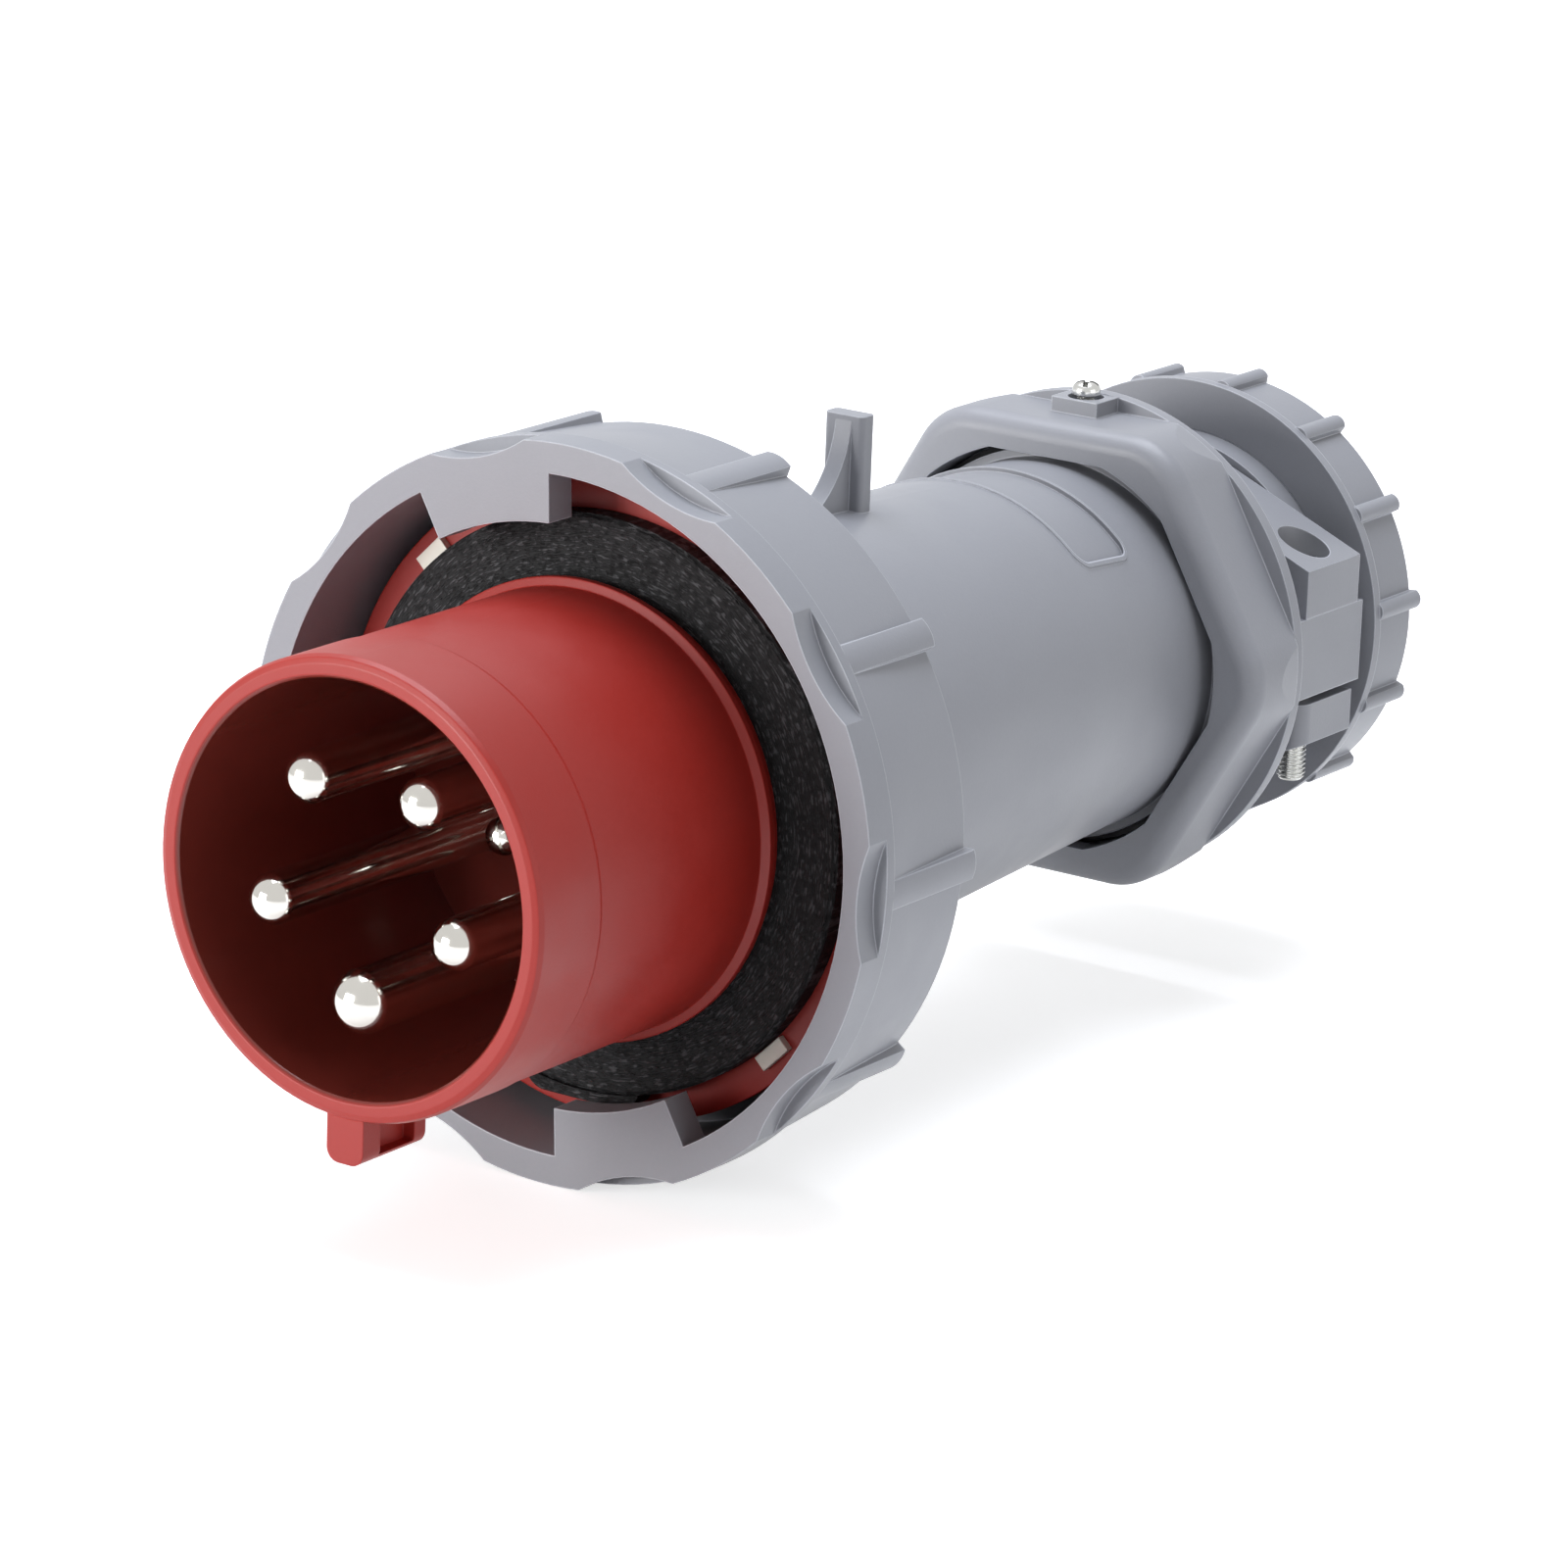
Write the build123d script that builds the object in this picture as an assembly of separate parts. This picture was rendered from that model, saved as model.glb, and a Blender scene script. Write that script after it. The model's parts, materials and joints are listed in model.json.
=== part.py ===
"""Industrial pin and sleeve plug, five poles plus pilot, with a bayonet ring and a clamped cable gland.

Millimetres.  The plug axis is Y, the mating face looks towards -Y, +Z is up and X is to the right.
The origin is on the axis in the plane of the sleeve's front rim.  "Station" means a position along Y.
Angles are measured from +X towards +Z in the front view.
"""

import math
import os

from build123d import *

os.makedirs("parts", exist_ok=True)

# Clearances and edges shared by the whole plug
running_gap = 0.06        # radial clearance of a thread that turns in its hole
free_gap = 0.3            # clearance between pieces that move past each other
small_edge = 0.6          # chamfer of moulded edges
cut_margin = 1.0          # cutters and roots run this far past the surface they meet

# Sleeve and contact carrier
sleeve_r = 35.5
sleeve_wall = 3.5
sleeve_long = 64.5        # front rim to mounting flange
sleeve_depth = 58.0       # front rim to the floor that holds the pins
rim_chamfer = 1.3
rim_crown = 0.4           # height and depth of the inner of the rim's two chamfers
step_at = 15.0            # line moulded round the sleeve
step_down = 0.25
bead_at = 57.3
bead_wide = 2.4
bead_high = 1.35
flange_r = 51.0
flange_thick = 4.5
insert_step = 1.0         # the insert's floor is this much wider than the sleeve's bore
insulator_r = 28.5
insulator_long = 29.0

# Key below the sleeve
key_wide = 6.8
key_deep = 7.1
key_front = 1.0
key_long = 15.2
key_wall = 1.2
key_round = 2.2
key_web_front = 4.2
key_web_back = 2.6

# Contacts
pin_circle_r = 18.0
line_pins = {"line_pin_one": 198.0, "line_pin_two": 126.0, "line_pin_three": 54.0, "neutral_pin": -18.0}
earth_angle = -90.0
pin_r = 4.0
earth_r = 5.0
pilot_r = 3.0
pin_tip = 1.2
earth_tip = 0.4
pilot_tip = 36.0
pin_foot = 18.0           # floor of the sleeve to the front of the terminals
pin_collar = 0.5          # step of the pin where it enters the floor
dome_share = 0.72         # length of a pin's domed tip over the pin's radius
terminal_half = 5.6       # half width of the square terminal
terminal_long = 19.0
terminal_wall = 1.9
terminal_play = 0.25
wire_way_deep = 15.0
grub_r = 2.5
grub_long = 6.0
grub_share = 0.6          # place of a terminal screw along its terminal
grub_bite = 1.0           # depth of a terminal screw in the wire way
grub_access = 0.8         # width beyond the screw on each side of its slot in the insulator
pilot_half = 3.8
pilot_long = 14.0
pilot_wall = 1.6
pilot_way_deep = 11.0
pilot_grub_r = 1.5
pilot_grub_long = 4.5

# Face gasket
gasket_r = 46.0
gasket_thick = 4.1
gasket_edge = 0.7
lobe_wide = 22.0
lobe_r = 47.6
lobe_round = 4.0

# Locking wedges that tie the carrier to the housing
wedge_angle = 135.0
wedge_play = 0.3          # gasket to the wedges
wedge_thick = 2.5
wedge_wide = 6.0
wedge_long = 10.8
wedge_proud = 1.3

# Bayonet locking ring
ring_play = 2.9           # flange to ring bore
ring_wall = 4.9
ring_long = 28.9
ring_band = 6.5           # full-radius band that carries the scallops
ring_taper = 2.0
ring_lip = 4.0
ring_turn = -2.0          # angle of the first rib from +X
grip_count = 10
grip_wide = 4.7
grip_round = 0.5
scallop_half_angle = 9.0
scallop_deep = 2.3
scallop_long = 4.5
lug_reach = 7.7
lug_long = 5.8
lug_half_angle = 13.5
lug_rib = 3               # a bayonet lug stands on the rib this many steps up from +X, and opposite it

# Housing
housing_flange_thick = 6.3
shoulder_r = 46.1
snap_high = 0.8
snap_long = 1.0
bell_long = 11.8
body_front_r = 36.8
body_back_r = 32.2
body_long = 94.0
housing_wall = 3.3
housing_floor = 5.0
land_step = 1.2           # end of the tapered tube to the tail that carries the seal and the collar
land_long = 6.2
tail_wall = 3.3
tail_neck = 5.8           # body end to the stop ring
stop_high = 2.6
stop_long = 2.5

# Lashing lug on top of the housing
lashing_at = 126.6
lashing_thick = 3.5
lashing_wide = 7.5
lashing_top = 50.7
lashing_round = 0.9
web_wide = 3.1
web_long = 13.0
web_mid_along = 3.2
web_mid_up = 41.5

# Sunk label field on top of the housing
label_front = 162.0
label_long = 14.5
label_wide = 48.0
label_round = 2.2
label_deep = 0.5
label_frame_wide = 0.6
label_frame_high = 0.35

# Hexagonal gland collar
collar_lead = 4.3         # collar front to the stop ring
collar_wall = 4.0
collar_corner_r = 12.5
collar_edge = 3.4         # rounding of the nose's front edge
corner_front_high = 5.2   # corners above the flats, front and back
corner_back_high = 3.3
collar_flange_thick = 2.4
collar_flange_high = 2.8
collar_floor = 2.0
mouth_long = 4.0
mouth_flat_high = 1.8     # flats of the hexagonal mouth inside its round bore
seal_thick = 2.5
seal_high = 3.6
seal_play = 0.4
outlet_step = 0.7

# Lock screw and its boss on the top flat of the collar
boss_wide = 9.0
boss_long = 7.4
boss_high = 2.6
boss_from_back = 5.4      # screw axis to the back of the collar flange
lock_recess_r = 3.1
lock_recess_deep = 1.6
lock_screw_r = 1.5
lock_screw_grip = 2.8     # depth of the screw in the housing tail
lock_head_r = 2.4
lock_head_high = 2.3
lock_head_edge = 0.8
lock_head_seat = 1.9

# Side arms and cable clamp
arm_outer = 38.0
arm_thick = 12.0
arm_half_high = 7.0
clamp_ahead = 7.0         # collar flange to clamp
clamp_long = 17.0
roof_edge = 15.3
roof_half = 12.0
roof_slope = 0.42
cable_r = 17.0
jaw_gap = 1.3
jaw_round = 3.0           # upright outer edges at the jaw's front
clamp_screw_inset = 6.3
clamp_screw_r = 2.5
clamp_screw_below = 7.6   # end of the screw below the nut
clamp_recess_r = 4.5
clamp_recess_floor = 11.5
clamp_head_r = 3.9
clamp_head_high = 3.2
clamp_head_edge = 1.0
clamp_slot_wide = 1.2
clamp_slot_deep = 1.1
clamp_slot_turns = {1: 60, -1: -20}   # where the slots of the right and left screw stand, from +X
clamp_nut_flat = 8.0
clamp_nut_high = 4.0
clamp_nut_top = -12.0

# Gland neck, seal, slip ring and nut
neck_long = 13.7
neck_floor_thick = 4.7
neck_wall = 4.5
gland_bore_r = 25.5
gland_seal_play = 0.5     # thickest cable to the seal's bore
neck_hole_play = 1.3      # thickest cable to the hole in the neck's floor
slip_ring_long = 3.0
slip_ring_ease = 0.3
slip_ring_play = 1.3      # thickest cable to the slip ring
nut_ahead = 3.6           # arm ends to nut
nut_skirt = 7.5
nut_floor = 2.4
nut_rim_high = 1.2
nut_rim_long = 2.0
nut_hole_play = 1.6       # thickest cable to the hole in the nut
nut_grip_count = 14
nut_grip_turn = 5.6
nut_grip_wide = 3.0
nut_grip_high = 1.9
nut_grip_round = 0.8
nut_grip_start = 1.6      # front of the nut to the grips

# Stations and radii that follow
flange_front = sleeve_long
flange_back = flange_front + flange_thick
insert_r = sleeve_r - sleeve_wall + insert_step
wedge_inner_r = gasket_r + wedge_play
insulator_back = flange_back + insulator_long
terminal_front = sleeve_depth + pin_foot
pin_angles = [*line_pins.values(), earth_angle]
housing_flange_back = flange_back + housing_flange_thick
ring_lip_front = housing_flange_back + free_gap
ring_back = ring_lip_front + ring_lip
ring_front = ring_back - ring_long
ring_band_back = ring_front + ring_band
ring_bore_r = flange_r + ring_play
ring_r = ring_bore_r + ring_wall
ring_back_r = ring_r - ring_taper
shoulder_back = ring_back + 2 * free_gap
bell_back = shoulder_back + bell_long
body_back = bell_back + body_long
land_r = body_back_r - land_step
tail_bore_r = land_r - tail_wall
stop_front = body_back + tail_neck
seal_front = stop_front + stop_long
seal_back = seal_front + seal_thick
land_back = seal_back + land_long
collar_front = stop_front - collar_lead
collar_flange_back = land_back + collar_floor
collar_flange_front = collar_flange_back - collar_flange_thick
seal_r = land_r + seal_high
mouth_r = seal_r + seal_play
collar_half_flat = mouth_r + collar_wall
boss_top = collar_half_flat + boss_high
lock_screw_at = collar_flange_back - boss_from_back
clamp_front = collar_flange_back + clamp_ahead
clamp_back = clamp_front + clamp_long
clamp_screw_x = arm_outer - clamp_screw_inset
clamp_screw_at = (clamp_front + clamp_back) / 2
neck_front = clamp_back + free_gap
neck_back = neck_front + neck_long
neck_r = gland_bore_r + neck_wall
arm_back = neck_front + neck_floor_thick / 3
gland_floor = neck_front + neck_floor_thick
gland_seal_bore = cable_r + gland_seal_play
neck_hole_r = cable_r + neck_hole_play
slip_ring_front = neck_back + free_gap
slip_ring_back = slip_ring_front + slip_ring_long
nut_front = arm_back + nut_ahead
nut_inside = slip_ring_back + free_gap
nut_back = nut_inside + nut_floor
nut_body_r = neck_r + nut_skirt


# Helpers
def turned(*points):
    """Solid of revolution about the plug axis from (station, radius) points."""
    face = make_face(Polyline(*points, close=True))
    return revolve(Plane.YZ * face, Axis.Y)


def slab(sketch, front, back):
    """Solid from a front-view sketch (X right, Z up) between two stations."""
    return extrude(Plane.XZ.offset(-back) * sketch, amount=back - front)


def rod(radius, front, back, x=0.0, z=0.0):
    """Round bar parallel to the plug axis."""
    return slab(Pos(x, z) * Circle(radius), front, back)


def tube(outer, inner, front, back):
    """Plain ring round the plug axis."""
    return slab(Circle(outer) - Circle(inner), front, back)


def block(x0, x1, y0, y1, z0, z1):
    """Box between two corners."""
    size = (x1 - x0, y1 - y0, z1 - z0)
    return Pos((x0 + x1) / 2, (y0 + y1) / 2, (z0 + z1) / 2) * Box(*size)


def side_block(side, near, far, y0, y1, z0, z1):
    """Box on the right (side 1) or left (side -1) of the plug axis."""
    x0, x1 = sorted((side * near, side * far))
    return block(x0, x1, y0, y1, z0, z1)


def post(radius, x, y, bottom, top):
    """Upright round bar."""
    bar = Cylinder(radius, top - bottom, align=(Align.CENTER, Align.CENTER, Align.MIN))
    return Pos(x, y, bottom) * bar


def outward_bar(radius, inner, outer, station):
    """Round bar lying on +X."""
    return Pos((inner + outer) / 2, station, 0) * Rot(0, 90, 0) * Cylinder(radius, outer - inner)


def spun(shape, degrees):
    """Shape turned about the plug axis from +X towards +Z."""
    return shape.rotate(Axis.Y, -degrees)


def polar(radius, degrees):
    """Front-view position at an angle."""
    return radius * math.cos(math.radians(degrees)), radius * math.sin(math.radians(degrees))


def pie(half_angle, reach):
    """Front-view triangle about +X that spans an angle."""
    edge = reach * math.tan(math.radians(half_angle))
    return make_face(Polyline((0, 0), (reach, -edge), (reach, edge), close=True))


def crowned_bar(base_r, top_r, wide, crown, front, back):
    """Axial rib on +X with a rounded crown."""
    half = wide / 2
    arc = ThreePointArc((top_r - crown, -half), (top_r, 0), (top_r - crown, half))
    sides = Polyline((top_r - crown, half), (base_r, half), (base_r, -half), (top_r - crown, -half))
    return slab(make_face(arc + sides), front, back)


def body_radius(station):
    """Outer radius of the tapered housing tube."""
    share = (station - bell_back) / body_long
    return body_front_r + share * (body_back_r - body_front_r)


def save(shape, node):
    """Writes one node."""
    export_step(shape, f"parts/{node}.step")


def group(shapes):
    """Separate solids of one node."""
    return Compound(children=[solid for shape in shapes for solid in shape.solids()])


# Contacts
def domed_bar(radius, tip, back):
    """Round pin along the plug axis with a domed tip."""
    dome = dome_share * radius
    curve = (radius**2 + dome**2) / (2 * dome)
    half = math.asin(radius / curve) / 2
    middle = (tip + curve * (1 - math.cos(half)), curve * math.sin(half))
    arc = ThreePointArc((tip, 0), middle, (tip + dome, radius))
    sides = Polyline((tip + dome, radius), (back, radius), (back, 0), (tip, 0))
    return revolve(Plane.YZ * make_face(arc + sides), Axis.Y)


def grub_station(length):
    """Station of the clamping screw in a terminal."""
    return terminal_front + grub_share * length


def terminal(half, wall, length, way_deep, screw_r):
    """Square cage terminal with a wire way from the back and a screw hole towards +X."""
    back = terminal_front + length
    way = half - wall
    cage = block(-half, half, terminal_front, back, -half, half)
    cage -= block(-way, way, back - way_deep, back, -way, way)
    return cage - outward_bar(screw_r, 0, half, grub_station(length))


def contact_pin(radius, tip, angle):
    """Main contact with its collar and terminal, screw side outwards."""
    pin = domed_bar(radius, tip, sleeve_depth)
    pin += rod(radius + pin_collar, sleeve_depth, terminal_front)
    pin += spun(terminal(terminal_half, terminal_wall, terminal_long, wire_way_deep, grub_r), angle)
    x, z = polar(pin_circle_r, angle)
    return Pos(x, 0, z) * pin


def pilot_pin():
    """Short central pilot contact."""
    pin = domed_bar(pilot_r, pilot_tip, sleeve_depth)
    pin += rod(pilot_r + pin_collar, sleeve_depth, terminal_front)
    return pin + spun(terminal(pilot_half, pilot_wall, pilot_long, pilot_way_deep, pilot_grub_r), 90)


def main_terminal_screws():
    """The screws of the five main contacts."""
    inner = pin_circle_r + terminal_half - terminal_wall - grub_bite
    screw = outward_bar(grub_r, inner, inner + grub_long, grub_station(terminal_long))
    return group([spun(screw, angle) for angle in pin_angles])


def pilot_terminal_screw():
    """Screw of the pilot contact, under the top of the terminal block."""
    inner = pilot_half - pilot_wall - grub_bite
    return spun(outward_bar(pilot_grub_r, inner, inner + pilot_grub_long, grub_station(pilot_long)), 90)


# Contact carrier
def sleeve_key():
    """Polarising key below the sleeve, cored from both sides."""
    low = -(sleeve_r + key_deep)
    root = -(sleeve_r - sleeve_wall / 2)
    outline = Pos(0, (low + root) / 2) * Rectangle(key_wide, root - low)
    outline = fillet(outline.vertices().sort_by(Axis.Y)[:2], key_round)
    key = slab(outline, key_front, key_front + key_long)
    web_front = key_front + key_web_front
    web_back = key_front + key_long - key_web_back
    core_top = -sleeve_r - key_wall / 2
    for side in (-1, 1):
        key -= side_block(side, key_wall, key_wide, web_front, web_back, low + key_wall, core_top)
    return key


def terminal_pocket(angle):
    """Square pocket of one terminal, open at the back and slotted outwards for its screw."""
    half = terminal_half + terminal_play
    slot_half = grub_r + grub_access
    slot_front = grub_station(terminal_long) - slot_half
    pocket = block(pin_circle_r - half, pin_circle_r + half, terminal_front, insulator_back, -half, half)
    reach = insulator_r + cut_margin
    pocket += block(pin_circle_r, reach, slot_front, insulator_back, -slot_half, slot_half)
    return spun(pocket, angle)


def pilot_pocket():
    """Square pocket of the pilot terminal with a screwdriver hole from above."""
    half = pilot_half + terminal_play
    pocket = block(-half, half, terminal_front, insulator_back, -half, half)
    return pocket + post(pilot_grub_r, 0, grub_station(pilot_long), 0, insulator_r + cut_margin)


def carrier_body():
    """Turned form of the sleeve and the flange, stepped inside for the insert."""
    inner = sleeve_r - sleeve_wall
    behind = sleeve_r - step_down
    bead_front = bead_at - bead_wide / 2
    bead_back = bead_at + bead_wide / 2
    return turned(
        (0, sleeve_r - rim_chamfer), (rim_crown, sleeve_r - rim_crown), (rim_chamfer, sleeve_r),
        (step_at, sleeve_r), (step_at + small_edge, behind), (bead_front, behind),
        (bead_front + small_edge, behind + bead_high), (bead_back - small_edge, behind + bead_high),
        (bead_back, behind), (flange_front, behind), (flange_front, flange_r), (flange_back, flange_r),
        (flange_back, insert_r), (sleeve_depth, insert_r),
        (sleeve_depth, inner), (small_edge, inner), (0, inner + small_edge),
    )


def pin_holes():
    """Holes for the collars of all the pins, from the floor to the terminals."""
    holes = rod(pilot_r + pin_collar, sleeve_depth, terminal_front)
    for angle in pin_angles:
        x, z = polar(pin_circle_r, angle)
        radius = earth_r if angle == earth_angle else pin_r
        holes += rod(radius + pin_collar, sleeve_depth, terminal_front, x, z)
    return holes


def contact_carrier():
    """Open sleeve with its key and mounting flange."""
    body = carrier_body()
    body += sleeve_key() - rod(sleeve_r - sleeve_wall / 2, 0, sleeve_depth)
    for angle in (wedge_angle, wedge_angle - 180):
        body -= spun(wedge_block(), angle)
    return body


def terminal_block():
    """Insert that closes the sleeve with the pins' floor and holds the terminals behind it."""
    body = rod(insert_r, sleeve_depth, flange_back) + rod(insulator_r, flange_back, insulator_back)
    body -= pin_holes() + pilot_pocket()
    for angle in pin_angles:
        body -= terminal_pocket(angle)
    return body


def wedge_block():
    """Locking wedge on +X, driven through the carrier flange into the housing."""
    front = flange_front - wedge_proud
    return block(
        wedge_inner_r, wedge_inner_r + wedge_thick, front, front + wedge_long,
        -wedge_wide / 2, wedge_wide / 2,
    )


def face_gasket():
    """Flat rubber washer round the foot of the sleeve, with a lobe below the key."""
    hole_r = sleeve_r - step_down
    front = flange_front - gasket_thick
    lobe = Pos(0, -(lobe_r + hole_r) / 2) * RectangleRounded(lobe_wide, lobe_r - hole_r, lobe_round)
    gasket = slab(Circle(gasket_r) + lobe - Circle(hole_r), front, flange_front)
    edge = turned((front, gasket_r - gasket_edge), (front, gasket_r), (front + gasket_edge, gasket_r))
    return gasket - edge


# Locking ring
def scallop_cutter():
    """Round cutter that makes one thumb scallop in the front edge, on +X."""
    half_chord = ring_r * math.sin(math.radians(scallop_half_angle))
    sag = ring_r * math.cos(math.radians(scallop_half_angle)) - (ring_r - scallop_deep)
    radius = (half_chord**2 + sag**2) / (2 * sag)
    return rod(radius, ring_front - cut_margin, ring_front + scallop_long, ring_r - scallop_deep + radius)


def bayonet_lug():
    """Inward bayonet lug at the front of the ring, on +X."""
    band = Circle(ring_bore_r + ring_wall / 4) - Circle(ring_bore_r - lug_reach)
    return slab(band & pie(lug_half_angle, 2 * ring_r), ring_front, ring_front + lug_long)


def ring_body():
    """Turned form of the ring with its inward lip at the back."""
    lip_r = shoulder_r + free_gap
    return turned(
        (ring_front, ring_bore_r), (ring_front, ring_r), (ring_band_back, ring_r),
        (ring_band_back + small_edge, ring_r - small_edge), (ring_back - small_edge, ring_back_r),
        (ring_back, ring_back_r - small_edge), (ring_back, lip_r), (ring_lip_front, lip_r),
        (ring_lip_front, ring_bore_r),
    )


def locking_ring():
    """Bayonet ring with scallops, grip ribs and two inward lugs."""
    step = 360 / grip_count
    rib_base = ring_bore_r + ring_wall / 4
    rib = crowned_bar(rib_base, ring_r, grip_wide, grip_round, ring_band_back - small_edge, ring_back)
    ring = ring_body()
    for index in (lug_rib, lug_rib + grip_count // 2):
        ring += spun(bayonet_lug(), index * step)
    for index in range(grip_count):
        ring += spun(rib, index * step)
    for index in range(grip_count):
        ring -= spun(scallop_cutter(), index * step)
    return spun(ring, ring_turn)


# Housing
def lashing_lug():
    """T-shaped lug on top of the housing with a curved web in front of the bar."""
    foot = body_radius(lashing_at) - housing_wall / 2
    web_foot = body_radius(lashing_at - web_long) - housing_wall / 4
    back = lashing_at + lashing_thick
    bar = block(-lashing_wide / 2, lashing_wide / 2, lashing_at, back, foot, lashing_top)
    bar = fillet(bar.edges().filter_by(Axis.Z), lashing_round)
    start = (lashing_at, lashing_top - lashing_round)
    end = (lashing_at - web_long, web_foot)
    sweep = ThreePointArc(start, (lashing_at - web_mid_along, web_mid_up), end)
    root = back - cut_margin
    rest = Polyline(end, (lashing_at - web_long, foot), (root, foot), (root, start[1]), start)
    return bar + extrude(Plane.YZ * make_face(sweep + rest), amount=web_wide / 2, both=True)


def label_shell(low, high, spare):
    """Curved plate with rounded corners over the label field, between two heights above the tube."""
    front = label_front - spare
    back = label_front + label_long + spare
    shell = turned(
        (front, body_radius(front) + low), (back, body_radius(back) + low),
        (back, body_radius(back) + high), (front, body_radius(front) + high),
    )
    outline = RectangleRounded(label_wide + 2 * spare, label_long + 2 * spare, label_round + spare)
    return shell & extrude(Pos(0, (front + back) / 2) * outline, amount=body_front_r + high)


def housing_body():
    """Turned form: mounting flange, ring shoulder, bell, tapered tube, stop ring and seal land."""
    cavity_r = shoulder_r - housing_wall
    throat_r = insulator_r + free_gap
    snap_r = shoulder_r + snap_high
    snap_back = shoulder_back + snap_long
    floor_back = flange_back + housing_floor
    return turned(
        (flange_back, throat_r), (flange_back, flange_r), (housing_flange_back, flange_r),
        (housing_flange_back, shoulder_r), (shoulder_back, shoulder_r), (shoulder_back, snap_r),
        (snap_back, snap_r), (snap_back + snap_high, shoulder_r - small_edge), (bell_back, body_front_r),
        (body_back, body_back_r), (stop_front, body_back_r), (stop_front, land_r + stop_high),
        (seal_front, land_r + stop_high), (seal_front, land_r), (land_back, land_r),
        (land_back, tail_bore_r),
        (body_back, body_back_r - housing_wall), (bell_back, body_front_r - housing_wall),
        (shoulder_back, cavity_r), (floor_back, cavity_r), (floor_back, throat_r),
    )


def housing():
    """Main housing with its lashing lug, label field and wedge slots."""
    sunk = label_shell(-label_deep, 2 * label_frame_high, 0)
    frame = label_shell(-label_deep, label_frame_high, label_frame_wide)
    body = housing_body() + frame - sunk
    body += lashing_lug()
    for angle in (wedge_angle, wedge_angle - 180):
        body -= spun(wedge_block(), angle)
    return body - post(lock_screw_r, 0, lock_screw_at, land_r - lock_screw_grip, land_r + cut_margin)


def housing_seal():
    """Rubber ring squeezed between the housing and the gland collar."""
    return tube(seal_r, land_r, seal_front, seal_back)


# Gland collar
def hexagon(half_flat):
    """Front-view hexagon with flats above and below."""
    corner = half_flat / math.cos(math.radians(30))
    return make_face(Polyline(*[polar(corner, 60 * k) for k in range(6)], close=True))


def collar_shell():
    """Hexagonal nose of the collar, running out into the round flange."""
    outline = hexagon(collar_half_flat)
    nose = slab(fillet(outline.vertices(), collar_corner_r), collar_front, collar_flange_front)
    nose = fillet(nose.faces().sort_by(Axis.Y)[0].edges(), collar_edge)
    nose &= turned(
        (collar_front, 0), (collar_front, collar_half_flat + corner_front_high),
        (collar_flange_front, collar_half_flat + corner_back_high), (collar_flange_front, 0),
    )
    return nose + rod(collar_half_flat + collar_flange_high, collar_flange_front, collar_flange_back)


def gland_neck():
    """Round neck behind the clamp that holds the gland seal."""
    return turned(
        (neck_front, neck_hole_r), (neck_front, neck_r), (neck_back, neck_r), (neck_back, gland_bore_r),
        (gland_floor, gland_bore_r), (gland_floor, neck_hole_r),
    )


def gland_collar():
    """Collar, side arms and threaded neck moulded in one."""
    body = collar_shell()
    boss_front = lock_screw_at - boss_long / 2
    boss_foot = collar_half_flat - cut_margin
    body += block(-boss_wide / 2, boss_wide / 2, boss_front, boss_front + boss_long, boss_foot, boss_top)
    mouth = hexagon(mouth_r - mouth_flat_high) & Circle(mouth_r)
    body -= slab(mouth, collar_front, collar_front + mouth_long)
    body -= rod(mouth_r, collar_front + mouth_long, seal_back)
    body -= rod(land_r, seal_back, land_back)
    body -= rod(tail_bore_r - outlet_step, land_back, collar_flange_back)
    body -= post(lock_recess_r, 0, lock_screw_at, boss_top - lock_recess_deep, boss_top)
    body -= post(lock_screw_r, 0, lock_screw_at, land_r - cut_margin, boss_top)
    for side in (-1, 1):
        body += side_block(
            side, arm_outer - arm_thick, arm_outer, collar_flange_back, arm_back,
            -arm_half_high, arm_half_high,
        )
    body += gland_neck()
    for side in (-1, 1):
        body -= post(
            clamp_screw_r + free_gap, side * clamp_screw_x, clamp_screw_at, -arm_half_high, arm_half_high
        )
    return body


def lock_screw():
    """Pan-head screw that stops the collar from unscrewing."""
    seat = boss_top - lock_recess_deep + lock_head_seat
    top = seat + lock_head_high
    tip = land_r - lock_screw_grip
    profile = Polyline(
        (0, tip), (lock_screw_r, tip), (lock_screw_r, seat), (lock_head_r, seat),
        (lock_head_r, top - lock_head_edge), (lock_head_r - lock_head_edge, top), (0, top), close=True,
    )
    return Pos(0, lock_screw_at, 0) * revolve(Plane.XZ * make_face(profile), Axis.Z)


# Cable clamp
def clamp_outline(sign, edge):
    """Front-view outline of a clamp half with its sloping roof; sign is up (+1) or down (-1)."""
    crown = roof_edge + (arm_outer - roof_half) * roof_slope
    points = [
        (arm_outer, sign * edge), (arm_outer, sign * roof_edge), (roof_half, sign * crown),
        (-roof_half, sign * crown), (-arm_outer, sign * roof_edge), (-arm_outer, sign * edge),
    ]
    return make_face(Polyline(*points, close=True)) - Circle(cable_r)


def screw_hole(x):
    """Clearance hole of a clamp screw through the whole clamp."""
    reach = roof_edge + arm_outer
    return post(clamp_screw_r + free_gap, x, clamp_screw_at, -reach, reach)


def clamp_saddle():
    """Fixed upper half of the cable clamp, seated on the side arms."""
    saddle = slab(clamp_outline(1, arm_half_high), clamp_front, clamp_back)
    for x in (-clamp_screw_x, clamp_screw_x):
        saddle -= post(clamp_recess_r, x, clamp_screw_at, clamp_recess_floor, roof_edge + arm_outer)
        saddle -= screw_hole(x)
    return saddle


def nut_outline():
    """Hexagon of a clamp nut."""
    return RegularPolygon(clamp_nut_flat / 2, 6, major_radius=False)


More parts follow.
